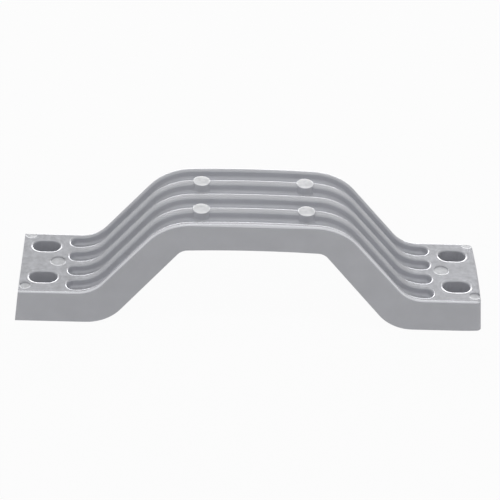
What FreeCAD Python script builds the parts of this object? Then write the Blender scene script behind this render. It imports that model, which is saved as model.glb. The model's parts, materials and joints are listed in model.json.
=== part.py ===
import FreeCAD, Part
import math
import os
from collections import namedtuple
from types import SimpleNamespace

import Sketcher

# Sacrificial anode: one die casting, a flat-topped bridge on two flat feet.
# Four flutes run over it from foot to foot, and each foot has two bolt slots.
# X runs from foot to foot and +Z is up.
# The origin lies midway between the feet, level with their soles.

# Driving dimensions in millimetres and degrees: name, value, meaning
SIZES = (
    ("overall_length", 209.6, "end to end along the soles"),
    ("overall_width", 44.0, "front face to back face"),
    ("end_draft", 6.2, "lean of the end faces"),
    ("foot_height", 16.4, "thickness of a foot"),
    ("bridge_height", 55.4, "top of the bridge at mid length"),
    ("bridge_clearance", 41.5, "free height under the bridge at mid length"),
    ("crown_radius", 600.0, "arch of the bridge along its length"),
    ("foot_length", 34.4, "end of the sole to the corner of foot top and leg, before rounding"),
    ("upper_leg_angle", 50.3, "slope of the legs' upper faces"),
    ("upper_bend_radius", 15.0, "rounding between foot top and leg"),
    ("shoulder_radius", 26.0, "rounding between leg and bridge top"),
    ("sole_length", 41.0, "end of the sole to the corner of sole and leg, before rounding"),
    ("lower_leg_angle", 51.3, "slope of the legs' lower faces"),
    ("heel_radius", 20.0, "rounding between sole and leg"),
    ("throat_radius", 6.0, "rounding between leg and bridge underside"),
    ("top_edge_radius", 0.8, "rounding of the long upper edges"),
    ("end_arc_radius", 450.0, "plan curve of the right-hand end"),
    ("end_corner_radius", 2.2, "upright corners of the right-hand end"),
    ("flute_count", 4, "flutes side by side"),
    ("flute_pitch", 10.75, "flute to flute"),
    ("flute_width", 6.9, "across a flute between its walls"),
    ("flute_depth", 3.7, "depth of a flute"),
    ("flute_floor_bevel", 0.8, "bevel between a flute's wall and floor"),
    ("flute_foot_run", 0.8, "straight run of a flute on the foot"),
    ("flute_lip_bevel", 0.5, "bevel of the flutes' lips"),
    ("slot_width", 8.4, "bolt slot across, clear of an M8 bolt"),
    ("slot_length", 12.2, "bolt slot end to end"),
    ("slot_inset", 12.2, "middle of a slot from the end of the sole"),
    ("slot_spacing_y", 23.4, "slot to slot on one foot"),
    ("slot_row_offset", 1.2, "slots and marks towards the back from the middle"),
    ("slot_lip_bevel", 0.6, "bevel of the slots' upper lips"),
    ("pad_diameter", 7.5, "ejector pad"),
    ("pad_spacing_x", 46.0, "ejector pad to pad along the bridge"),
    ("pad_rise", 0.6, "height of a pad over its ridge"),
    ("pad_draft", 6.0, "lean of a pad's wall, which widens it towards the flute's floor"),
    ("mark_depth", 0.4, "depth of the ejector marks on the feet"),
    ("centre_mark_diameter", 6.6, "ejector mark between the slots"),
    ("centre_mark_inset", 18.1, "centre mark from the end of the sole"),
    ("corner_mark_diameter", 4.5, "ejector mark at a foot's outer corner"),
    ("corner_mark_inset", 4.6, "corner mark from the end of the sole"),
    ("front_mark_inset", 4.6, "front corner mark from the front face"),
    ("back_mark_inset", 1.0, "back corner mark from the back face"),
)

# Room that a cutting profile has beyond the surface it cuts
CUT_ROOM = 2.0
# How far a pad's core reaches into the metal under the flute floor
PAD_ROOT = 1.0
# Turn of the profile that trims the right-hand end, wide enough for the whole face
END_TRIM_TURN = 20

UP = FreeCAD.Vector(0, 0, 1)
# Point numbers on a sketch's lines and arcs, and the origin and axes
START, END, CENTRE = 1, 2, 3
ORIGIN = (-1, 1)
ACROSS, UPRIGHT = -1, -2

doc = FreeCAD.newDocument("anode")


class Amount:
    """A length or an angle: its present number and the formula that drives it."""

    def __init__(self, number, formula):
        self.number = number
        self.formula = formula

    def joined(self, other, sign, number):
        return Amount(number, f"({self.formula} {sign} {amount(other).formula})")

    def __add__(self, other):
        return self.joined(other, "+", self.number + amount(other).number)

    def __sub__(self, other):
        return self.joined(other, "-", self.number - amount(other).number)

    def __mul__(self, other):
        return self.joined(other, "*", self.number * amount(other).number)

    def __truediv__(self, other):
        return self.joined(other, "/", self.number / amount(other).number)

    def __neg__(self):
        return Amount(-self.number, f"(-1 * {self.formula})")


def amount(value):
    """A plain number as an amount."""
    return value if isinstance(value, Amount) else Amount(value, str(value))


def tan(angle):
    """Tangent of an angle in degrees."""
    return Amount(math.tan(math.radians(angle.number)), f"tan({angle.formula})")


def leg_of(long_side, short_side):
    """Third side of a right-angled triangle."""
    formula = f"sqrt({long_side.formula} ^ 2 - {short_side.formula} ^ 2)"
    return Amount(math.sqrt(long_side.number**2 - short_side.number**2), formula)


ZERO = amount(0)
size = SimpleNamespace(**{name: Amount(value, "Sizes." + name) for name, value, meaning in SIZES})


def write_sizes():
    """Puts the driving dimensions into a sheet, one alias each."""
    sheet = doc.addObject("Spreadsheet::Sheet", "Sizes")
    for row, (name, value, meaning) in enumerate(SIZES, start=1):
        sheet.set(f"A{row}", meaning)
        sheet.set(f"B{row}", str(value))
        sheet.setAlias(f"B{row}", name)
    doc.recompute()


def origin_part(body, role):
    """An origin plane or axis of the body, by its role."""
    return next(item for item in body.Origin.OriginFeatures if item.Role == role)


def new_sketch(body, name, plane, shift=(ZERO, ZERO, ZERO)):
    """A sketch on an origin plane, shifted along its own axes."""
    sketch = body.newObject("Sketcher::SketchObject", name)
    sketch.AttachmentSupport = [(origin_part(body, plane), "")]
    sketch.MapMode = "FlatFace"
    for axis, step in zip("xyz", shift):
        sketch.setExpression(f"AttachmentOffset.Base.{axis}", step.formula)
    return sketch


def line(sketch, start, end):
    """Adds a straight line and returns its number."""
    points = [FreeCAD.Vector(x, y, 0) for x, y in (start, end)]
    return sketch.addGeometry(Part.LineSegment(*points), False)


def arc(sketch, centre, radius, first_angle, last_angle):
    """Adds an arc that runs anticlockwise between two angles in degrees."""
    circle = Part.Circle(FreeCAD.Vector(centre[0], centre[1], 0), UP, radius)
    ends = math.radians(first_angle), math.radians(last_angle)
    return sketch.addGeometry(Part.ArcOfCircle(circle, *ends), False)


def rule(sketch, kind, *where):
    """Adds a constraint without a size."""
    sketch.addConstraint(Sketcher.Constraint(kind, *where))


def dimension(sketch, name, kind, where, value):
    """Adds a named dimension and binds it to its formula."""
    number = math.radians(value.number) if kind == "Angle" else value.number
    place = sketch.addConstraint(Sketcher.Constraint(kind, *where, number))
    sketch.renameConstraint(place, name)
    sketch.setExpression(f"Constraints.{name}", value.formula)


def settle(item):
    """Recomputes the document and returns the finished feature."""
    doc.recompute()
    if "Invalid" in item.State or item.Shape.isNull():
        raise RuntimeError(f"{item.Name} failed: {item.State}")
    return item


def feature(body, kind, name, profile, **bound):
    """Adds a feature on a profile, with properties bound to amounts."""
    item = body.newObject("PartDesign::" + kind, name)
    item.Profile = profile
    for prop, value in bound.items():
        item.setExpression(prop, value.formula)
    return item


def between(inset):
    """Distance between two places that lie as far in from either end of the soles."""
    return size.overall_length - inset * 2


# The make-up of a side outline, upper or lower:
# foot, bend, leg, corner, crown and the same again on the other side.
Outline = namedtuple("Outline", "name level span angle bend corner crown crown_radius")

UPPER = Outline(
    name="upper",
    level=size.foot_height,
    span=between(size.foot_length),
    angle=size.upper_leg_angle,
    bend=size.upper_bend_radius,
    corner=size.shoulder_radius,
    crown=size.bridge_height,
    crown_radius=size.crown_radius,
)
LOWER = Outline(
    name="lower",
    level=ZERO,
    span=between(size.sole_length),
    angle=size.lower_leg_angle,
    bend=size.heel_radius,
    corner=size.throat_radius,
    crown=size.bridge_clearance,
    crown_radius=size.crown_radius,
)
# The floor of the flutes keeps the same depth under the upper outline everywhere
FLOOR = Outline(
    name="floor",
    level=UPPER.level - size.flute_depth,
    span=UPPER.span - size.flute_depth * tan(UPPER.angle / 2) * 2,
    angle=UPPER.angle,
    bend=UPPER.bend + size.flute_depth,
    corner=UPPER.corner - size.flute_depth,
    crown=UPPER.crown - size.flute_depth,
    crown_radius=UPPER.crown_radius - size.flute_depth,
)


def bend_centre(outline):
    """How far out the centre of an outline's bend lies."""
    return outline.span / 2 + outline.bend * tan(outline.angle / 2)


def corner_centre(outline):
    """Centre of the arc that touches both the leg and the crown, on the right."""
    angle = math.radians(outline.angle.number)
    radius = outline.corner.number
    crown_radius = outline.crown_radius.number
    crown_centre = outline.crown.number - crown_radius
    # From the crown's centre to the foot of the leg line, moved in by the radius
    across = outline.span.number / 2 - radius * math.sin(angle)
    up = outline.level.number - radius * math.cos(angle) - crown_centre
    along = up * math.sin(angle) - across * math.cos(angle)
    reach = crown_radius - radius
    run = math.sqrt(along**2 - across**2 - up**2 + reach**2) - along
    return across - run * math.cos(angle), up + run * math.sin(angle) + crown_centre


def draw_outline(sketch, outline, ends):
    """Draws an outline from its right end to its left end.

    ends holds how far the right and the left end lie from the middle.
    Returns the numbers of the two foot lines.
    """
    level = outline.level.number
    slope = outline.angle.number
    bend = outline.bend.number
    corner = outline.corner.number
    crown = outline.crown_radius.number
    spread = bend_centre(outline)
    bend_x, bend_z = spread.number, level + bend
    corner_x, corner_z = corner_centre(outline)
    crown_z = outline.crown.number - crown
    crown_end = math.degrees(math.atan2(corner_z - crown_z, corner_x))
    lean = math.radians(slope)
    leg_foot = (bend_x - bend * math.sin(lean), bend_z - bend * math.cos(lean))
    leg_head = (corner_x + corner * math.sin(lean), corner_z + corner * math.cos(lean))
    mirrored = [(-x, z) for x, z in (leg_foot, leg_head)]

    right_foot = line(sketch, (ends[0].number, level), (bend_x, level))
    right_bend = arc(sketch, (bend_x, bend_z), bend, 270 - slope, 270)
    right_leg = line(sketch, leg_foot, leg_head)
    right_corner = arc(sketch, (corner_x, corner_z), corner, 90 - slope, crown_end)
    top = arc(sketch, (0, crown_z), crown, crown_end, 180 - crown_end)
    left_corner = arc(sketch, (-corner_x, corner_z), corner, 180 - crown_end, 90 + slope)
    left_leg = line(sketch, mirrored[1], mirrored[0])
    left_bend = arc(sketch, (-bend_x, bend_z), bend, 270, 270 + slope)
    left_foot = line(sketch, (-bend_x, level), (-ends[1].number, level))

    joints = (
        (right_foot, END, right_bend, END),
        (right_bend, START, right_leg, START),
        (right_leg, END, right_corner, START),
        (right_corner, END, top, START),
        (top, END, left_corner, START),
        (left_corner, END, left_leg, START),
        (left_leg, END, left_bend, END),
        (left_bend, START, left_foot, START),
    )
    for joint in joints:
        rule(sketch, "Tangent", *joint)
    rule(sketch, "Equal", right_bend, left_bend)
    rule(sketch, "Equal", right_corner, left_corner)
    rule(sketch, "PointOnObject", top, CENTRE, UPRIGHT)

    def place(name, kind, where, value):
        dimension(sketch, f"{outline.name}_{name}", kind, where, value)

    for side, foot, point in (("right", right_foot, START), ("left", left_foot, END)):
        rule(sketch, "Horizontal", foot)
        if outline.level is ZERO:
            rule(sketch, "PointOnObject", foot, point, ACROSS)
        else:
            place(side + "_level", "DistanceY", (*ORIGIN, foot, point), outline.level)
    place("right_slope", "Angle", (right_leg,), amount(180) - outline.angle)
    place("left_slope", "Angle", (left_leg,), amount(180) + outline.angle)
    place("bend", "Radius", (right_bend,), outline.bend)
    place("corner", "Radius", (right_corner,), outline.corner)
    place("crown", "Radius", (top,), outline.crown_radius)
    crown_drop = outline.crown_radius - outline.crown
    place("crown_drop", "DistanceY", (top, CENTRE, *ORIGIN), crown_drop)
    place("right_bend_place", "DistanceX", (*ORIGIN, right_bend, CENTRE), spread)
    place("left_bend_place", "DistanceX", (left_bend, CENTRE, *ORIGIN), spread)
    place("right_end", "DistanceX", (*ORIGIN, right_foot, START), ends[0])
    place("left_end", "DistanceX", (left_foot, END, *ORIGIN), ends[1])
    return right_foot, left_foot


def middle(edge):
    """The point halfway along an edge."""
    return edge.valueAt((edge.FirstParameter + edge.LastParameter) / 2)


def edges_where(item, test):
    """Names of the feature's edges that pass a test.

    The test gets the edge's middle and the outward normals of the two faces
    there, the one that looks up most first.
    """
    names = []
    for number, edge in enumerate(item.Shape.Edges, start=1):
        point = middle(edge)
        faces = item.Shape.ancestorsOfType(edge, Part.Face)
        normals = [face.normalAt(*face.Surface.parameter(point)) for face in faces]
        normals.sort(key=lambda normal: -normal.z)
        if len(normals) == 2 and test(point, *normals):
            names.append(f"Edge{number}")
    return names


def dress(body, kind, name, base, test, **bound):
    """Rounds (Fillet) or bevels (Chamfer) the edges that pass the test."""
    names = edges_where(base, test)
    if not names:
        raise RuntimeError(f"{name} found no edge")
    item = body.newObject("PartDesign::" + kind, name)
    item.Base = (base, names)
    for prop, value in bound.items():
        item.setExpression(prop, value.formula)
    return settle(item)


def make_bar(body):
    """The plain bridge bar: its side outline, as wide as the casting."""
    sole = size.overall_length / 2
    top = sole - size.foot_height * tan(size.end_draft)
    outline = new_sketch(body, "SideOutline", "XZ_Plane")
    upper_ends = (top + CUT_ROOM, top)
    lower_ends = (sole + CUT_ROOM, sole)
    upper = draw_outline(outline, UPPER, upper_ends)
    lower = draw_outline(outline, LOWER, lower_ends)
    height = size.foot_height.number
    right_end = line(outline, (lower_ends[0].number, 0), (upper_ends[0].number, height))
    left_end = line(outline, (-upper_ends[1].number, height), (-lower_ends[1].number, 0))
    for joint in (
        (right_end, START, lower[0], START),
        (right_end, END, upper[0], START),
        (left_end, START, upper[1], END),
        (left_end, END, lower[1], END),
    ):
        rule(outline, "Coincident", *joint)
    block = feature(body, "Pad", "Block", outline, Length=size.overall_width)
    block.SideType = "Symmetric"
    return settle(block)


def shape_right_end(body):
    """Trims the right-hand end to a gentle arc in plan, leaning like the other end."""
    centre = size.overall_length / 2 - size.end_arc_radius
    sketch = new_sketch(body, "EndSection", "XZ_Plane", (centre, ZERO, ZERO))
    top = size.foot_height + CUT_ROOM
    outer = size.end_arc_radius + 3 * CUT_ROOM
    inner_low = size.end_arc_radius + tan(size.end_draft) * CUT_ROOM
    inner_high = size.end_arc_radius - tan(size.end_draft) * top
    corners = (
        (inner_low.number, -CUT_ROOM),
        (outer.number, -CUT_ROOM),
        (outer.number, top.number),
        (inner_high.number, top.number),
    )
    sides = [line(sketch, corners[n], corners[(n + 1) % 4]) for n in range(4)]
    for n in range(4):
        rule(sketch, "Coincident", sides[n], END, sides[(n + 1) % 4], START)
    rule(sketch, "Horizontal", sides[0])
    rule(sketch, "Vertical", sides[1])
    rule(sketch, "Horizontal", sides[2])
    dimension(sketch, "below", "DistanceY", (sides[0], START, *ORIGIN), amount(CUT_ROOM))
    dimension(sketch, "above", "DistanceY", (*ORIGIN, sides[2], END), top)
    dimension(sketch, "reach", "DistanceX", (*ORIGIN, sides[1], END), outer)
    dimension(sketch, "lean", "Angle", (sides[3],), size.end_draft - 90)
    dimension(sketch, "sole", "DistanceX", (*ORIGIN, sides[0], START), inner_low)
    trim = feature(body, "Groove", "EndTrim", sketch)
    trim.ReferenceAxis = (sketch, ["V_Axis"])
    trim.Angle = END_TRIM_TURN
    trim.Midplane = True
    return settle(trim)


def round_outside(body, base):
    """Rounds the right-hand end's corners and the casting's long upper edges."""
    height = size.foot_height.number
    right = size.overall_length.number / 2 - height / 2

    def upright_corner(point, first, second):
        across = sorted(abs(normal.y) for normal in (first, second))
        on_face = 1 < point.z < height - 1
        return point.x > right and on_face and across[0] < 0.5 and across[1] > 0.9

    def upper_edge(point, upper, side):
        outside = abs(side.y) > 0.9 or side.x > 0.5
        return point.z > 1 and outside and upper.z > 0.4 and abs(side.z) < 0.2

    base = dress(body, "Fillet", "EndCorners", base, upright_corner, Radius=size.end_corner_radius)
    return dress(body, "Fillet", "TopEdges", base, upper_edge, Radius=size.top_edge_radius)


def grid(body, name, original, spacing_x, spacing_y):
    """Repeats a feature at the four corners of a rectangle."""
    pattern = body.newObject("PartDesign::LinearPattern", name)
    pattern.Originals = [original]
    pattern.Direction = (origin_part(body, "X_Axis"), [""])
    pattern.setExpression("Length", spacing_x.formula)
    pattern.Occurrences = 2
    pattern.Direction2 = (origin_part(body, "Y_Axis"), [""])
    pattern.setExpression("Length2", spacing_y.formula)
    pattern.Occurrences2 = 2
    body.Tip = pattern
    return settle(pattern)


def cut_slots(body):
    """Four slots through the feet, long way along X, with bevelled upper lips."""
    radius = size.slot_width.number / 2
    reach = size.slot_length.number / 2 - radius
    front_row = size.slot_row_offset - size.slot_spacing_y / 2
    spacing_x = between(size.slot_inset)
    place = (-spacing_x / 2, front_row, ZERO)
    sketch = new_sketch(body, "SlotOutline", "XY_Plane", place)
    front = line(sketch, (-reach, -radius), (reach, -radius))
    right = arc(sketch, (reach, 0), radius, -90, 90)
    back = line(sketch, (reach, radius), (-reach, radius))
    left = arc(sketch, (-reach, 0), radius, 90, 270)
    ring = (front, right, back, left)
    for first, second in zip(ring, ring[1:] + ring[:1]):
        rule(sketch, "Tangent", first, END, second, START)
    rule(sketch, "Equal", left, right)
    rule(sketch, "Horizontal", front)
    rule(sketch, "Symmetric", left, CENTRE, right, CENTRE, *ORIGIN)
    dimension(sketch, "end_round", "Radius", (right,), size.slot_width / 2)
    run = size.slot_length - size.slot_width
    dimension(sketch, "run", "DistanceX", (left, CENTRE, right, CENTRE), run)
    slot = feature(body, "Pocket", "Slot", sketch)
    slot.Type = "ThroughAll"
    slot.Reversed = True
    settle(slot)
    slots = grid(body, "Slots", slot, spacing_x, size.slot_spacing_y)
    outer = spacing_x.number / 2 - size.slot_length.number
    height = size.foot_height.number

    def lip(point, upper, wall):
        on_top = abs(point.z - height) < 0.001 and abs(point.x) > outer
        return on_top and upper.z > 0.99 and abs(wall.z) < 0.001

    return dress(body, "Chamfer", "SlotLips", slots, lip, Size=size.slot_lip_bevel)


def two_discs(body, name, place_y, level, spacing, diameter):
    """A sketch of two like circles, one over each half of the casting."""
    sketch = new_sketch(body, name, "XY_Plane", (ZERO, place_y, level))
    reach = spacing / 2
    circles = []
    for side in (-1, 1):
        centre = FreeCAD.Vector(side * reach.number, 0, 0)
        circle = Part.Circle(centre, UP, diameter.number / 2)
        circles.append(sketch.addGeometry(circle, False))
    left, right = circles
    rule(sketch, "Equal", left, right)
    rule(sketch, "PointOnObject", left, CENTRE, ACROSS)
    rule(sketch, "PointOnObject", right, CENTRE, ACROSS)
    dimension(sketch, "across", "Diameter", (left,), diameter)
    dimension(sketch, "left_reach", "DistanceX", (left, CENTRE, *ORIGIN), reach)
    dimension(sketch, "right_reach", "DistanceX", (*ORIGIN, right, CENTRE), reach)
    return sketch


def mark_feet(body):
    """Shallow round ejector marks: one between a foot's slots, two at its outer end."""
    half_width = size.overall_width / 2
    corners = between(size.corner_mark_inset)
    front = size.front_mark_inset - half_width
    back = half_width - size.back_mark_inset
    marks = (
        ("CentreMarks", size.slot_row_offset, between(size.centre_mark_inset), size.centre_mark_diameter),
        ("FrontMarks", front, corners, size.corner_mark_diameter),
        ("BackMarks", back, corners, size.corner_mark_diameter),
    )
    for name, place_y, spacing, diameter in marks:
        outline = name + "Outline"
        sketch = two_discs(body, outline, place_y, size.foot_height, spacing, diameter)
        settle(feature(body, "Pocket", name, sketch, Length=size.mark_depth))


def flute_ends(body, place_y, reach):
    """A sketch of the two half discs that end a flute, left and right."""
    sketch = new_sketch(body, "FluteEndsOutline", "XY_Plane", (ZERO, place_y, size.foot_height))
    radius = size.flute_width / 2
    half = radius.number
    for name, side, first_angle in (("left", -1, 90), ("right", 1, -90)):
        middle_x = side * reach.number
        curve = arc(sketch, (middle_x, 0), half, first_angle, first_angle + 180)
        chord = line(sketch, (middle_x, side * half), (middle_x, -side * half))
        rule(sketch, "Coincident", curve, END, chord, START)
        rule(sketch, "Coincident", chord, END, curve, START)
        rule(sketch, "Vertical", chord)
        rule(sketch, "PointOnObject", curve, CENTRE, chord)
        rule(sketch, "PointOnObject", curve, CENTRE, ACROSS)
        dimension(sketch, name + "_round", "Radius", (curve,), radius)
        ends = (curve, CENTRE, *ORIGIN) if side < 0 else (*ORIGIN, curve, CENTRE)
        dimension(sketch, name + "_reach", "DistanceX", ends, reach)
    return sketch


def cut_flutes(body):
    """Cuts the front flute from foot to foot with round ends, and repeats it."""
    run = bend_centre(UPPER) + size.flute_foot_run
    front = (size.flute_count - 1) * size.flute_pitch / 2
    side = new_sketch(body, "FluteSide", "XZ_Plane", (ZERO, ZERO, front))
    right_foot, left_foot = draw_outline(side, FLOOR, (run, run))
    over = size.bridge_height + CUT_ROOM
    floor_level = FLOOR.level.number
    left = line(side, (-run.number, floor_level), (-run.number, over.number))
    top = line(side, (-run.number, over.number), (run.number, over.number))
    right = line(side, (run.number, over.number), (run.number, floor_level))
    rule(side, "Coincident", left_foot, END, left, START)
    rule(side, "Coincident", left, END, top, START)
    rule(side, "Coincident", top, END, right, START)
    rule(side, "Coincident", right, END, right_foot, START)
    rule(side, "Vertical", left)
    rule(side, "Horizontal", top)
    rule(side, "Vertical", right)
    dimension(side, "over", "DistanceY", (*ORIGIN, top, START), over)
    flute = feature(body, "Pocket", "Flute", side, Length=size.flute_width)
    flute.SideType = "Symmetric"
    settle(flute)

    rounds = flute_ends(body, -front, run)
    ends = settle(feature(body, "Pocket", "FluteEnds", rounds, Length=size.flute_depth))
    flutes = body.newObject("PartDesign::LinearPattern", "Flutes")
    flutes.Originals = [flute, ends]
    flutes.Direction = (origin_part(body, "Y_Axis"), [""])
    flutes.setExpression("Length", (front * 2).formula)
    flutes.setExpression("Occurrences", size.flute_count.formula)
    body.Tip = flutes
    return settle(flutes)


def shape_flutes(body, base):
    """Bevels the corners between the flutes' floors and walls, and the flutes' lips."""
    run = bend_centre(UPPER) + size.flute_foot_run + size.flute_width / 2
    across = ((size.flute_count - 1) * size.flute_pitch + size.flute_width) / 2
    lowest = FLOOR.level.number - 0.1

    def in_flute(point, upper, wall):
        inside = abs(point.x) < run.number + 0.1 and abs(point.y) < across.number + 0.1
        return inside and point.z > lowest and upper.z > 0.4 and abs(wall.z) < 0.01

    def hollow(point, upper, wall):
        return base.Shape.isInside(point + (upper - wall) * 0.05, 0.001, False)

    def floor_edge(point, upper, wall):
        return in_flute(point, upper, wall) and hollow(point, upper, wall)

    def lip(point, upper, wall):
        return in_flute(point, upper, wall) and not hollow(point, upper, wall)

    base = dress(body, "Chamfer", "FluteFloors", base, floor_edge, Size=size.flute_floor_bevel)
    return dress(body, "Chamfer", "FluteLips", base, lip, Size=size.flute_lip_bevel)


def add_pads(body):
    """Four round ejector pads, which stand on the first and the last inner ridge."""
    reach = size.pad_spacing_x / 2
    crown = size.bridge_height - size.crown_radius
    top = crown + leg_of(size.crown_radius, reach) + size.pad_rise
    sketch = new_sketch(body, "PadOutline", "XY_Plane", (-reach, -size.flute_pitch, top))
    circle = Part.Circle(FreeCAD.Vector(0, 0, 0), UP, size.pad_diameter.number / 2)
    number = sketch.addGeometry(circle, False)
    rule(sketch, "Coincident", number, CENTRE, *ORIGIN)
    dimension(sketch, "across", "Diameter", (number,), size.pad_diameter)
    depth = size.pad_rise + size.flute_depth + PAD_ROOT
    pad = feature(body, "Pad", "EjectorPad", sketch, Length=depth)
    pad.Reversed = True
    pad.setExpression("TaperAngle", size.pad_draft.formula)
    settle(pad)
    return grid(body, "EjectorPads", pad, size.pad_spacing_x, size.flute_pitch * 2)


def main():
    write_sizes()
    body = doc.addObject("PartDesign::Body", "Casting")
    body.Label = "anode_casting"
    make_bar(body)
    trimmed = shape_right_end(body)
    round_outside(body, trimmed)
    cut_slots(body)
    mark_feet(body)
    flutes = cut_flutes(body)
    shape_flutes(body, flutes)
    add_pads(body)
    for item in doc.Objects:
        if "Invalid" in item.State or "Error" in item.State:
            raise RuntimeError(f"{item.Name}: {item.State}")
    shape = body.Shape
    if shape.isNull() or not shape.isValid():
        raise RuntimeError(f"{body.Label} has no valid shape")
    os.makedirs("parts", exist_ok=True)
    shape.exportStep(os.path.join("parts", body.Label + ".step"))


main()
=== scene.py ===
import json
import math

import bmesh
import bpy
from mathutils import Matrix, Vector

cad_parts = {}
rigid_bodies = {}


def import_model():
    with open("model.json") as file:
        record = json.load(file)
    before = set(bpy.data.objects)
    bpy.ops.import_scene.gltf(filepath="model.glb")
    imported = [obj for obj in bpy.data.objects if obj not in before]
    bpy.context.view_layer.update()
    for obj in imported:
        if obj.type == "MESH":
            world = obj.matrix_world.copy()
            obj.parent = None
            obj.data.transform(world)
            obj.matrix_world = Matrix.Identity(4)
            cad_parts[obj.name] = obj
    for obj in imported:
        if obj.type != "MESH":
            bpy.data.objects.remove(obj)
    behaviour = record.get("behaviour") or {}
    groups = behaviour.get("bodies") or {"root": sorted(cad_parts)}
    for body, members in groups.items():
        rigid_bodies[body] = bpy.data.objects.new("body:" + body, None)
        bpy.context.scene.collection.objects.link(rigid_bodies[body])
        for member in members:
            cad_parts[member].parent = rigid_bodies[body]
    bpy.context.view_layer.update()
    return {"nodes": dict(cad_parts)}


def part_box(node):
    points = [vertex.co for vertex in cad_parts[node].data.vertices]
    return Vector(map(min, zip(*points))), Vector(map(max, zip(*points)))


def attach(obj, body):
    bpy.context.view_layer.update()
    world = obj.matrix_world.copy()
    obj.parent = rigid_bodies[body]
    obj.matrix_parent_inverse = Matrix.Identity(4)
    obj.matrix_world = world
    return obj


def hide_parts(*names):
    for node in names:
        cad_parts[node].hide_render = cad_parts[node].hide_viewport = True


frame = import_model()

bl_info = {
    "name": "Sacrificial anode",
    "version": (1, 0, 0),
    "blender": (4, 5, 0),
    "location": "View3D > Sidebar > Anode",
    "description": "Finishes a die-cast sacrificial anode and sets up its studio",
    "category": "Object",
}

CASTING_NODE = "anode_casting"
CASTING_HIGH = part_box(CASTING_NODE)[1]
MILLIMETRE = 0.001
# Points nearer than this are one point
MERGE = 0.002 * MILLIMETRE
WHITE = "#FFFFFF"
# How pale and how polished each face is, from 0 to 1. On edges, lips and rims the paleness is a painted
# highlight; on the pads' tops and the marks' floors it is their own colour.
PALE = "pale"
POLISHED = "polished"
# A face looks ahead when its normal's Y is below this. Such faces keep only a share of the painted
# highlight on lips and rims.
AHEAD = -0.1
# Faces that turn less than this from each other are one flat face
FLAT = math.radians(0.25)
# Faces that turn more than this from each other meet at an edge that shows
EDGE = math.radians(32)
# A bevel's edges turn by degrees between the first two, a square edge by more than the third
SHALLOW, STEEP, SQUARE = 30, 60, 80

# Places on the casting, in millimetres. Each half repeats the other.
HALF_WIDTH = 22.0
EDGE_RADIUS = 0.8
FOOT_TOP = 16.4
FLUTE_PITCH = 10.75
# The flutes end before this distance from the middle
FLUTE_REACH = 83.0
PAD_TOP = CASTING_HIGH[2] / MILLIMETRE
PAD_PLACE = (23.0, 10.75)
# Edges nearer than this to a pad's middle meet its stem
PAD_REACH = 5.5
# The rows of slots lie on both sides of this line
SLOT_ROW = 1.2
SLOT_PLACE = (92.6, 11.7)
SLOT_HALF_SPINE = 1.9
# A slot's lip lies nearer than this to its spine
SLOT_RIM = 6.0
# Centre and radius of each ejector mark
MARKS = ((86.7, 1.2, 3.3), (100.2, -17.4, 2.25), (100.2, 21.0, 2.25))
MARK_FLOOR = FOOT_TOP - 0.4
# A point this near to a place is on it
NEAR = 0.05

# Widths of the skin's blotches, in millimetres. The real grain is finer, and
# this is as fine as shows.
CLOUDS = 9.0
PATCHES = 2.2
GRAIN = 0.8
# Where the skin darkens towards the left end, and how much
LEFT_DARKENING = (-80.0, -65.0)
LEFT_DARKENING_DEPTH = 0.11
# Where the mottling comes in at the feet, and where the painted highlight on the flutes' floors fades at
# the shoulders
MOTTLE = (60.0, 76.0)
SHOULDER = (26.0, 48.0)
# How much of the plain white the camera and reflections see in place of the paper
PAPER_GLOW = 0.95


def linear(hex_colour):
    """An sRGB hex colour as the linear colour that shaders take."""
    channels = [int(hex_colour[n : n + 2], 16) / 255 for n in (1, 3, 5)]
    toned = [c / 12.92 if c <= 0.04045 else ((c + 0.055) / 1.055) ** 2.4 for c in channels]
    return (*toned, 1.0)


def scale_of(millimetres):
    """The scale of a noise whose blotches are this wide."""
    return 1 / (millimetres * MILLIMETRE)


def add_node(tree, kind, links=(), **settings):
    """Adds a shader node.

    links pairs an input with the output that feeds it. A setting goes to the
    input of that name, and to the node itself where it has no such input.
    """
    node = tree.nodes.new("ShaderNode" + kind)
    for name, value in settings.items():
        title = name.replace("_", " ").title()
        if title in node.inputs:
            node.inputs[title].default_value = value
        else:
            setattr(node, name, value)
    for target, source in links:
        tree.links.new(source, node.inputs[target])
    return node


def new_material(name):
    """An empty node material and its tree."""
    material = bpy.data.materials.new(name)
    material.use_nodes = True
    material.node_tree.nodes.clear()
    return material, material.node_tree


class AnodeFinish(bpy.types.PropertyGroup):
    """Colour and skin of the casting."""

    alloy: bpy.props.StringProperty(
        name="Alloy",
        description="Colour of the cast skin, as an sRGB hex value",
        default="#D1D2D7",
    )
    # On lips and rims this pale colour is a painted highlight; on the pads' tops and the marks' floors it
    # is their own colour.
    pale: bpy.props.StringProperty(
        name="Pale",
        description="Colour of pads and rims that the die has rubbed bare, as an sRGB hex value",
        default="#F4F5F7",
    )
    roughness: bpy.props.FloatProperty(
        name="Roughness",
        description="Spread of the reflections on the cast skin",
        default=0.5,
        min=0.0,
        max=1.0,
        subtype="FACTOR",
    )
    polished_roughness: bpy.props.FloatProperty(
        name="Polished roughness",
        description="Spread of the reflections on lips that the die has polished",
        default=0.2,
        min=0.0,
        max=1.0,
        subtype="FACTOR",
    )
    metallic: bpy.props.FloatProperty(
        name="Metallic",
        description="Share of bare metal in the skin, the rest is dull oxide",
        default=0.15,
        min=0.0,
        max=1.0,
        subtype="FACTOR",
    )
    polished_metallic: bpy.props.FloatProperty(
        name="Polished metallic",
        description="Share of bare metal on lips that the die has polished",
        default=0.85,
        min=0.0,
        max=1.0,
        subtype="FACTOR",
    )


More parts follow.
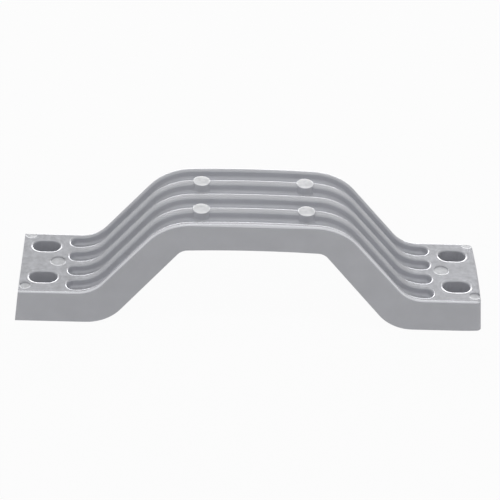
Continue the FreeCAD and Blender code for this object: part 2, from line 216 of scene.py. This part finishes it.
class AnodeRoundings(bpy.types.PropertyGroup):
    """Widths of the small roundings that the die leaves."""

    flute_floor: bpy.props.FloatProperty(
        name="Flute floors",
        description="Width of the roundings along the flutes' floors",
        default=0.5 * MILLIMETRE,
        min=0.0,
        unit="LENGTH",
    )
    flute_lip: bpy.props.FloatProperty(
        name="Flute lips",
        description="Width of the roundings along the flutes' lips",
        default=0.33 * MILLIMETRE,
        min=0.0,
        unit="LENGTH",
    )
    slot_lip: bpy.props.FloatProperty(
        name="Slot lips",
        description="Width of the roundings round the slots' lips",
        default=0.4 * MILLIMETRE,
        min=0.0,
        unit="LENGTH",
    )
    mark_rim: bpy.props.FloatProperty(
        name="Mark rims",
        description="Width of the roundings round the ejector marks",
        default=0.12 * MILLIMETRE,
        min=0.0,
        unit="LENGTH",
    )
    pad_rim: bpy.props.FloatProperty(
        name="Pad rims",
        description="Width of the roundings round the pads' tops",
        default=0.25 * MILLIMETRE,
        min=0.0,
        unit="LENGTH",
    )
    end_foot: bpy.props.FloatProperty(
        name="End's foot",
        description="Width of the rounding along the right end's lower edge",
        default=0.5 * MILLIMETRE,
        min=0.0,
        unit="LENGTH",
    )


class AnodeStudio(bpy.types.PropertyGroup):
    """Floor, lamps and camera."""

    floor_colour: bpy.props.StringProperty(
        name="Floor",
        description="Colour of the studio floor, as an sRGB hex value",
        default="#F2F2F2",
    )
    top_power: bpy.props.FloatProperty(
        name="Top lamp",
        description="Power of the soft lamp overhead, in watts",
        default=0.8,
        min=0.0,
    )
    front_power: bpy.props.FloatProperty(
        name="Front lamp",
        description="Power of the soft lamp over the front, in watts",
        default=0.3,
        min=0.0,
    )
    back_power: bpy.props.FloatProperty(
        name="Back lamp",
        description="Power of the low soft lamp behind, in watts",
        default=7.0,
        min=0.0,
    )
    sky: bpy.props.FloatProperty(
        name="Sky",
        description="Strength of the even light from all round",
        default=0.38,
        min=0.0,
    )
    azimuth: bpy.props.FloatProperty(
        name="Azimuth",
        description="Where the camera stands round the anode",
        default=math.radians(-2.21),
        subtype="ANGLE",
    )
    elevation: bpy.props.FloatProperty(
        name="Elevation",
        description="How far the camera looks down",
        default=math.radians(36.0),
        subtype="ANGLE",
    )
    roll: bpy.props.FloatProperty(
        name="Roll",
        description="How far the picture is turned clockwise",
        default=math.radians(2.73),
        subtype="ANGLE",
    )
    aim: bpy.props.FloatVectorProperty(
        name="Aim",
        description="The point in the middle of the picture",
        default=(-0.00051, 0.0, 0.02596),
        subtype="XYZ",
        unit="LENGTH",
    )
    distance: bpy.props.FloatProperty(
        name="Distance",
        description="From the camera to the point it aims at",
        default=0.9277,
        unit="LENGTH",
    )
    lens: bpy.props.FloatProperty(
        name="Lens",
        description="Focal length in millimetres on a 36 mm wide sensor",
        default=148.7,
        min=1.0,
    )


def cast_alloy(finish):
    """Die-cast anode alloy with its skin as cast.

    The die leaves a dull satin skin with a fine grain and faint cloudy patches
    where the metal chilled. On the level faces, where the metal met last, the
    patches are smaller and stronger, a faint flow line rings each slot, and the
    skin is darker towards the left end. Pads and ejector marks are paler, and
    lips are smoother. Painted light is added on the level faces: a painted
    highlight on the flutes' floors along the crown and on the front rims of the
    slots and marks, and a painted shade on the marks' rear rims. The pale colour
    on lips and rims is a painted highlight too.
    """
    material, tree = new_material("die_cast_anode_alloy")
    source = add_node(tree, "TexCoord")
    place = source.outputs["Object"]
    spot = add_node(tree, "SeparateXYZ", [("Vector", place)])
    across = spot.outputs["Y"]
    folded = add_node(tree, "Math", [(0, spot.outputs["X"])], operation="ABSOLUTE").outputs[0]
    away = slot_distance(tree, place)
    facing = add_node(tree, "SeparateXYZ", [("Vector", source.outputs["Normal"])])
    level = add_node(
        tree, "MapRange", [("Value", facing.outputs["Z"])], from_min=0.7, from_max=0.95
    ).outputs["Result"]
    # The pale note is the pads' tops' and marks' floors' own colour, and a painted highlight on edges,
    # lips and rims.
    bare = add_node(
        tree, "Attribute", attribute_type="GEOMETRY", attribute_name=PALE
    ).outputs["Fac"]
    smooth = add_node(
        tree, "Attribute", attribute_type="GEOMETRY", attribute_name=POLISHED
    ).outputs["Fac"]

    cloud = add_node(
        tree, "TexNoise", [("Vector", place)], scale=scale_of(CLOUDS), detail=4.0
    ).outputs["Fac"]
    clouds = add_node(
        tree, "MapRange", [("Value", cloud)],
        from_min=0.3, from_max=0.7, to_min=0.97, to_max=1.03,
    ).outputs["Result"]
    patch = add_node(
        tree, "TexNoise", [("Vector", place)], scale=scale_of(PATCHES), detail=3.0
    ).outputs["Fac"]
    patches = add_node(
        tree, "MapRange", [("Value", patch)],
        from_min=0.3, from_max=0.7, to_min=-0.12, to_max=0.12,
    ).outputs["Result"]
    foot = add_node(
        tree, "MapRange", [("Value", folded)],
        from_min=MOTTLE[0] * MILLIMETRE, from_max=MOTTLE[1] * MILLIMETRE,
    ).outputs["Result"]
    marked = add_node(
        tree, "Math", [(0, patches), (1, largest_of(tree, [foot, bare]))], operation="MULTIPLY"
    ).outputs[0]

    left_darkening = add_node(
        tree, "MapRange", [("Value", spot.outputs["X"])],
        from_min=LEFT_DARKENING[0] * MILLIMETRE, from_max=LEFT_DARKENING[1] * MILLIMETRE, to_min=1.0, to_max=0.0,
    ).outputs["Result"]
    painted_highlight_rim, painted_shade_rim = mark_rims_painted_light(tree, folded, across)
    # Painted light in the tone: a painted highlight on the crown's flute floors and a painted shade on
    # the marks' rear rims.
    for part, weight in (
        (left_darkening, -LEFT_DARKENING_DEPTH),
        (flow_ring(tree, away, patch), 0.09),
        (crown_floor_painted_highlight(tree, folded, across), 0.2),
        (painted_shade_rim, -0.22),
    ):
        node = add_node(tree, "Math", [(0, part), (2, marked)], operation="MULTIPLY_ADD")
        node.inputs[1].default_value = weight
        marked = node.outputs[0]
    tone = add_node(
        tree, "Math", [(0, marked), (1, level), (2, clouds)], operation="MULTIPLY_ADD"
    )

    # The front rims of the slots and ejector marks take the pale colour as a painted highlight, on level
    # faces only, and are made smoother.
    rims = largest_of(tree, [slot_rim_painted_highlight(tree, away, across), painted_highlight_rim])
    rim = add_node(tree, "Math", [(0, rims), (1, level)], operation="MULTIPLY").outputs[0]
    base = add_node(tree, "Mix", [(0, largest_of(tree, [bare, rim]))], data_type="RGBA")
    base.inputs[6].default_value = linear(finish.alloy)
    base.inputs[7].default_value = linear(finish.pale)
    colour = add_node(
        tree, "HueSaturation", [("Value", tone.outputs[0]), ("Color", base.outputs[2])]
    )
    shiny = largest_of(tree, [smooth, rim])
    rough = add_node(
        tree, "MapRange", [("Value", shiny)],
        to_min=finish.roughness, to_max=finish.polished_roughness,
    )
    metal = add_node(
        tree, "MapRange", [("Value", shiny)],
        to_min=finish.metallic, to_max=finish.polished_metallic,
    )

    grain = add_node(tree, "TexNoise", [("Vector", place)], scale=scale_of(GRAIN), detail=3.0)
    relief = add_node(
        tree, "Math",
        [(0, marked), (1, level), (2, grain.outputs["Fac"])],
        operation="MULTIPLY_ADD",
    )
    bump = add_node(
        tree, "Bump", [("Height", relief.outputs[0])], strength=0.12, distance=0.1 * MILLIMETRE
    )
    skin = add_node(
        tree, "BsdfPrincipled",
        [
            ("Base Color", colour.outputs["Color"]),
            ("Metallic", metal.outputs["Result"]),
            ("Roughness", rough.outputs["Result"]),
            ("Normal", bump.outputs["Normal"]),
        ],
    )
    add_node(tree, "OutputMaterial", [("Surface", skin.outputs["BSDF"])])
    return material


def largest_of(tree, values):
    """The largest of some values."""
    largest = values[0]
    for value in values[1:]:
        largest = add_node(
            tree, "Math", [(0, largest), (1, value)], operation="MAXIMUM"
        ).outputs[0]
    return largest


def slot_distance(tree, place):
    """The distance from a slot's spine, folded so that one spine stands for all four."""
    spot = place
    x, y = (c * MILLIMETRE for c in SLOT_PLACE)
    for step, amount in (
        ("SUBTRACT", (0.0, SLOT_ROW * MILLIMETRE, 0.0)),
        ("ABSOLUTE", (0.0, 0.0, 0.0)),
        ("SUBTRACT", (x, y, 0.0)),
        ("ABSOLUTE", (0.0, 0.0, 0.0)),
        ("SUBTRACT", (SLOT_HALF_SPINE * MILLIMETRE, 0.0, 0.0)),
        ("MAXIMUM", (0.0, 0.0, 0.0)),
        ("MULTIPLY", (1.0, 1.0, 0.0)),
    ):
        node = add_node(tree, "VectorMath", [(0, spot)], operation=step)
        node.inputs[1].default_value = amount
        spot = node.outputs[0]
    return add_node(tree, "VectorMath", [(0, spot)], operation="LENGTH").outputs["Value"]


def band(tree, value, middle, flat, fade):
    """1 within flat of the middle, down to 0 at fade from it, all in millimetres."""
    off = add_node(tree, "Math", [(0, value)], operation="SUBTRACT")
    off.inputs[1].default_value = middle * MILLIMETRE
    size = add_node(tree, "Math", [(0, off.outputs[0])], operation="ABSOLUTE")
    return add_node(
        tree, "MapRange", [("Value", size.outputs[0])],
        from_min=flat * MILLIMETRE, from_max=fade * MILLIMETRE, to_min=1.0, to_max=0.0,
    ).outputs["Result"]


def flow_ring(tree, away, waver):
    """A faint wavering line round each slot, where the metal closed round the core."""
    wavered = add_node(tree, "Math", [(0, waver), (2, away)], operation="MULTIPLY_ADD")
    wavered.inputs[1].default_value = 1.2 * MILLIMETRE
    return band(tree, wavered.outputs[0], middle=7.1, flat=0.0, fade=0.4)


def slot_rim_painted_highlight(tree, away, across):
    """A narrow mask on each slot's front rim, where a painted highlight goes."""
    rim = band(tree, away, middle=5.05, flat=0.25, fade=0.4)
    front_sides = [
        band(tree, across, middle=SLOT_ROW + row - 4.4, flat=2.4, fade=3.6)
        for row in (-SLOT_PLACE[1], SLOT_PLACE[1])
    ]
    front = largest_of(tree, front_sides)
    return add_node(tree, "Math", [(0, rim), (1, front)], operation="MULTIPLY").outputs[0]


def crown_floor_painted_highlight(tree, folded, across):
    """A painted highlight on the flutes' floors along the crown, fading out towards the shoulders."""
    half = add_node(tree, "Math", [(0, across)], operation="ABSOLUTE").outputs[0]
    inner = add_node(tree, "Math", [(0, half)], operation="SUBTRACT")
    inner.inputs[1].default_value = FLUTE_PITCH * MILLIMETRE
    half = add_node(tree, "Math", [(0, inner.outputs[0])], operation="ABSOLUTE").outputs[0]
    strip = band(tree, half, middle=FLUTE_PITCH / 2, flat=2.6, fade=3.3)
    reach = add_node(
        tree, "MapRange", [("Value", folded)],
        from_min=SHOULDER[0] * MILLIMETRE, from_max=SHOULDER[1] * MILLIMETRE,
        to_min=1.0, to_max=0.0,
    ).outputs["Result"]
    return add_node(tree, "Math", [(0, strip), (1, reach)], operation="MULTIPLY").outputs[0]


def mark_rims_painted_light(tree, folded, across):
    """Thin lines on the rims of the ejector marks: a painted highlight in front, a painted shade behind.
    """
    flat = add_node(tree, "CombineXYZ", [("X", folded), ("Y", across)]).outputs["Vector"]
    # Side -1 is the front rim, which gets a painted highlight, and side 1 the rear rim, which gets a
    # painted shade.
    lines = {-1: [], 1: []}
    for x, y, radius in MARKS:
        apart = add_node(tree, "VectorMath", [(0, flat)], operation="DISTANCE")
        apart.inputs[1].default_value = (x * MILLIMETRE, y * MILLIMETRE, 0.0)
        for side in lines:
            rim = band(tree, apart.outputs["Value"], middle=radius + 0.1, flat=0.2, fade=0.45)
            half = band(
                tree, across, middle=y + side * radius, flat=0.5 * radius, fade=0.9 * radius
            )
            line = add_node(tree, "Math", [(0, rim), (1, half)], operation="MULTIPLY")
            lines[side].append(line.outputs[0])
    return [largest_of(tree, rims) for rims in lines.values()]


def seen_straight(tree):
    """1 for what the camera, a reflection or a clear body sees, and 0 for light."""
    rays = add_node(tree, "LightPath")
    kinds = ("Is Camera Ray", "Is Glossy Ray", "Is Transmission Ray")
    return largest_of(tree, [rays.outputs[kind] for kind in kinds])


def studio_paper(studio):
    """Matt white studio paper, which the camera and reflections see as nearly plain white."""
    material, tree = new_material("matt_studio_paper")
    paper = add_node(tree, "BsdfDiffuse", color=linear(studio.floor_colour))
    glow = add_node(tree, "Emission", color=linear(WHITE), strength=1.0)
    share = add_node(tree, "Math", [(0, seen_straight(tree))], operation="MULTIPLY")
    share.inputs[1].default_value = PAPER_GLOW
    both = add_node(
        tree,
        "MixShader",
        [(0, share.outputs[0]), (1, paper.outputs["BSDF"]), (2, glow.outputs["Emission"])],
    )
    add_node(tree, "OutputMaterial", [("Surface", both.outputs["Shader"])])
    return material


def deselect():
    bpy.ops.object.select_all(action="DESELECT")


def only(piece):
    """Selects one object and makes it active."""
    deselect()
    piece.select_set(True)
    bpy.context.view_layer.objects.active = piece


def round_edges(piece, test, width, steps, pale=0.0, polished=0.0, ahead=1.0):
    """Rounds the edges that pass a test of turn and place.

    The test gets the turn between an edge's two faces in degrees, negative in a
    hollow, and the edge's middle in millimetres. The new faces keep a note of
    how pale and how polished they are, and those that look ahead keep a share,
    so the paleness paints a highlight that is strongest on faces turned away
    from the camera.
    """
    bpy.ops.mesh.select_mode(type="EDGE")
    bpy.ops.mesh.select_all(action="DESELECT")
    mesh = bmesh.from_edit_mesh(piece.data)
    for edge in mesh.edges:
        if len(edge.link_faces) == 2:
            turn = math.degrees(edge.calc_face_angle_signed())
            middle = (edge.verts[0].co + edge.verts[1].co) / 2 / MILLIMETRE
            edge.select_set(test(turn, middle))
    bmesh.update_edit_mesh(piece.data)
    bpy.ops.mesh.bevel(offset=width, segments=steps, affect="EDGES", clamp_overlap=False)
    note_faces(piece, lambda face: face.select, pale, polished, ahead)


def note_faces(piece, test, pale, polished, ahead=1.0):
    """Notes how pale and how polished the faces are that pass a test.

    Those that look ahead keep a share of both.
    """
    mesh = bmesh.from_edit_mesh(piece.data)
    notes = mesh.faces.layers.float
    for face in mesh.faces:
        if test(face):
            share = ahead if face.normal.y < AHEAD else 1.0
            face[notes[PALE]] = pale * share
            face[notes[POLISHED]] = polished * share
    bmesh.update_edit_mesh(piece.data)


class ANODE_OT_casting(bpy.types.Operator):
    """Makes the casting's skin from the solid and rounds its edges as a die does"""

    bl_idname = "anode.casting"
    bl_label = "Cast body"

    def execute(self, context):
        only(frame["nodes"][CASTING_NODE])
        bpy.ops.object.duplicate()
        body = context.active_object
        body.name = "cast_body"
        bpy.ops.object.parent_clear(type="CLEAR_KEEP_TRANSFORM")
        for name in (PALE, POLISHED):
            body.data.attributes.new(name, "FLOAT", "FACE")
        bpy.ops.object.mode_set(mode="EDIT")
        bpy.ops.mesh.select_all(action="SELECT")
        bpy.ops.mesh.remove_doubles(threshold=MERGE)
        bpy.ops.mesh.select_all(action="SELECT")
        bpy.ops.mesh.dissolve_limited(angle_limit=FLAT)
        self.round_die_edges(body, context.scene.anode_roundings)
        bpy.ops.mesh.select_all(action="SELECT")
        bpy.ops.mesh.dissolve_degenerate(threshold=MERGE)
        bpy.ops.mesh.remove_doubles(threshold=MERGE)
        bpy.ops.object.mode_set(mode="OBJECT")
        bpy.ops.object.shade_smooth_by_angle(angle=EDGE)
        weigh = body.modifiers.new("flat_faces_stay_flat", "WEIGHTED_NORMAL")
        weigh.mode = "FACE_AREA"
        weigh.keep_sharp = True
        bpy.ops.object.modifier_apply(modifier=weigh.name)
        body.data.materials.clear()
        body.data.materials.append(cast_alloy(context.scene.anode_finish))
        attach(body, "root")
        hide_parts(CASTING_NODE)
        return {"FINISHED"}

    def round_die_edges(self, body, roundings):
        """Rounds the flutes' floors, all lips, the pads' rims and the end's lower edge."""

        def left_alone(place):
            by_a_pad = math.dist((abs(place.x), abs(place.y)), PAD_PLACE) < PAD_REACH
            return by_a_pad or abs(place.y) > HALF_WIDTH - EDGE_RADIUS

        def floor_corner(turn, place):
            return -STEEP < turn < -SHALLOW and not left_alone(place)

        def lip(turn, place):
            return SHALLOW < turn < STEEP and not left_alone(place)

        def flute_lip(turn, place):
            return lip(turn, place) and abs(place.x) < FLUTE_REACH

        def slot_lip(turn, place):
            along = max(abs(abs(place.x) - SLOT_PLACE[0]) - SLOT_HALF_SPINE, 0.0)
            across = abs(abs(place.y - SLOT_ROW) - SLOT_PLACE[1])
            return lip(turn, place) and math.hypot(along, across) < SLOT_RIM

        def mark_spans(place):
            """How far outside each ejector mark a place lies."""
            return [math.dist((abs(place.x), place.y), mark[:2]) - mark[2] for mark in MARKS]

        def mark_rim(turn, place):
            # The marks at the back and at the right end run into the foot's edge
            clear = place.y < 15 and place.x < 95
            on_top = abs(place.z - FOOT_TOP) <= NEAR
            round_a_mark = any(abs(span) < 2 * NEAR for span in mark_spans(place))
            return turn >= SQUARE and on_top and clear and round_a_mark

        def pad_rim(turn, place):
            return turn > SQUARE and place.z > PAD_TOP - 2 * NEAR

        def end_foot(turn, place):
            return turn > STEEP and place.z < 2 * NEAR and place.x > 100

        def pad_top(face):
            place = face.calc_center_median() / MILLIMETRE
            return face.normal.z > 0.99 and place.z > PAD_TOP - 2 * NEAR

        def mark_floor(face):
            place = face.calc_center_median() / MILLIMETRE
            return abs(place.z - MARK_FLOOR) < NEAR and min(mark_spans(place)) < 0

        def long_edge(face):
            places = [corner.co / MILLIMETRE for corner in face.verts]
            inmost = min(abs(place.y) for place in places)
            lowest = min(place.z for place in places)
            rounded = HALF_WIDTH - EDGE_RADIUS - NEAR < inmost < HALF_WIDTH - 0.001
            return rounded and lowest > FOOT_TOP - EDGE_RADIUS - 2 * NEAR

        # On the long top edges, the lips and the rims the pale note is a painted highlight, weaker on
        # faces that look ahead; on the pads' tops and the marks' floors it is their own paler colour.
        note_faces(body, long_edge, pale=0.2, polished=0.8)
        round_edges(body, floor_corner, roundings.flute_floor, steps=4)
        round_edges(
            body, flute_lip, roundings.flute_lip, steps=4, pale=0.4, polished=1.0, ahead=0.1
        )
        round_edges(
            body, slot_lip, roundings.slot_lip, steps=4, pale=0.3, polished=0.7, ahead=0.4
        )
        round_edges(
            body, mark_rim, roundings.mark_rim, steps=3, pale=0.8, polished=1.0, ahead=0.0
        )
        round_edges(
            body, pad_rim, roundings.pad_rim, steps=4, pale=1.0, polished=1.0, ahead=0.5
        )
        round_edges(body, end_foot, roundings.end_foot, steps=3)
        note_faces(body, pad_top, pale=0.9, polished=0.05)
        note_faces(body, mark_floor, pale=0.5, polished=0.1)


class ANODE_OT_studio(bpy.types.Operator):
    """Sets up the pale floor, the soft lamps and the camera"""

    bl_idname = "anode.studio"
    bl_label = "Studio"

    def execute(self, context):
        studio = context.scene.anode_studio
        deselect()
        bpy.ops.mesh.primitive_plane_add(size=8.0)
        floor = context.active_object
        floor.name = "studio_floor"
        floor.data.materials.append(studio_paper(studio))

        self.light_world(context, studio)
        for name, place, spread, power in (
            ("overhead_softbox", (0.0, -0.2, 1.0), (1.2, 0.08), studio.top_power),
            ("front_softbox", (0.0, -1.3, 0.9), (1.6, 0.8), studio.front_power),
            ("back_softbox", (0.0, 1.3, 0.32), (1.6, 0.6), studio.back_power),
        ):
            self.hang_softbox(context, name, place, spread, power)
        self.set_camera(context, studio)
        context.scene.view_settings.view_transform = "Standard"
        return {"FINISHED"}

    def hang_softbox(self, context, name, place, spread, power):
        """A wide lamp that faces the anode."""
        lamp = bpy.data.lights.new(name, "AREA")
        lamp.shape = "RECTANGLE"
        lamp.size, lamp.size_y = spread
        lamp.energy = power
        softbox = bpy.data.objects.new(name, lamp)
        softbox.location = place
        towards = Vector(place) - Vector(context.scene.anode_studio.aim)
        softbox.rotation_euler = towards.to_track_quat("Z", "Y").to_euler()
        context.scene.collection.objects.link(softbox)

    def light_world(self, context, studio):
        """An even sky, which the camera sees as plain white."""
        world = bpy.data.worlds.new("studio_white")
        world.use_nodes = True
        context.scene.world = world
        tree = world.node_tree
        tree.nodes.clear()
        seen = seen_straight(tree)
        shown = add_node(tree, "Background", color=linear(WHITE), strength=1.0)
        sky = add_node(tree, "Background", color=linear(WHITE), strength=studio.sky)
        both = add_node(
            tree,
            "MixShader",
            [(0, seen), (1, sky.outputs["Background"]), (2, shown.outputs["Background"])],
        )
        add_node(tree, "OutputWorld", [("Surface", both.outputs["Shader"])])

    def set_camera(self, context, studio):
        """Puts the camera where the photograph was taken from."""
        turn, tilt, roll = studio.azimuth, studio.elevation, studio.roll
        back = Vector((math.sin(turn) * math.cos(tilt), -math.cos(turn) * math.cos(tilt), math.sin(tilt)))
        level_right = Vector((math.cos(turn), math.sin(turn), 0))
        level_up = back.cross(level_right)
        right = level_right * math.cos(roll) + level_up * math.sin(roll)
        up = level_up * math.cos(roll) - level_right * math.sin(roll)
        lens = bpy.data.cameras.new("photo_camera")
        lens.sensor_width = 36.0
        lens.lens = studio.lens
        lens.clip_start, lens.clip_end = 0.01, 50.0
        camera = bpy.data.objects.new("photo_camera", lens)
        context.scene.collection.objects.link(camera)
        placed = Matrix((right, up, back)).transposed().to_4x4()
        placed.translation = Vector(studio.aim) + back * studio.distance
        camera.matrix_world = placed
        context.scene.camera = camera


class ANODE_PT_panel(bpy.types.Panel):
    """Lists the anode's pieces and settings in the sidebar"""

    bl_idname = "ANODE_PT_panel"
    bl_label = "Sacrificial anode"
    bl_space_type = "VIEW_3D"
    bl_region_type = "UI"
    bl_category = "Anode"

    def draw(self, context):
        for operator in OPERATORS:
            self.layout.operator(operator.bl_idname)
        for scene_name in GROUPS:
            group = getattr(context.scene, scene_name)
            for name in group.bl_rna.properties.keys():
                if name not in ("rna_type", "name"):
                    self.layout.prop(group, name)


OPERATORS = (ANODE_OT_casting, ANODE_OT_studio)
GROUPS = {
    "anode_finish": AnodeFinish,
    "anode_roundings": AnodeRoundings,
    "anode_studio": AnodeStudio,
}
CLASSES = (*GROUPS.values(), *OPERATORS, ANODE_PT_panel)


def register():
    for item in CLASSES:
        bpy.utils.register_class(item)
    for name, group in GROUPS.items():
        setattr(bpy.types.Scene, name, bpy.props.PointerProperty(type=group))


def unregister():
    for name in GROUPS:
        delattr(bpy.types.Scene, name)
    for item in reversed(CLASSES):
        bpy.utils.unregister_class(item)


def main():
    register()
    bpy.ops.anode.casting()
    bpy.ops.anode.studio()


if __name__ == "__main__":
    main()
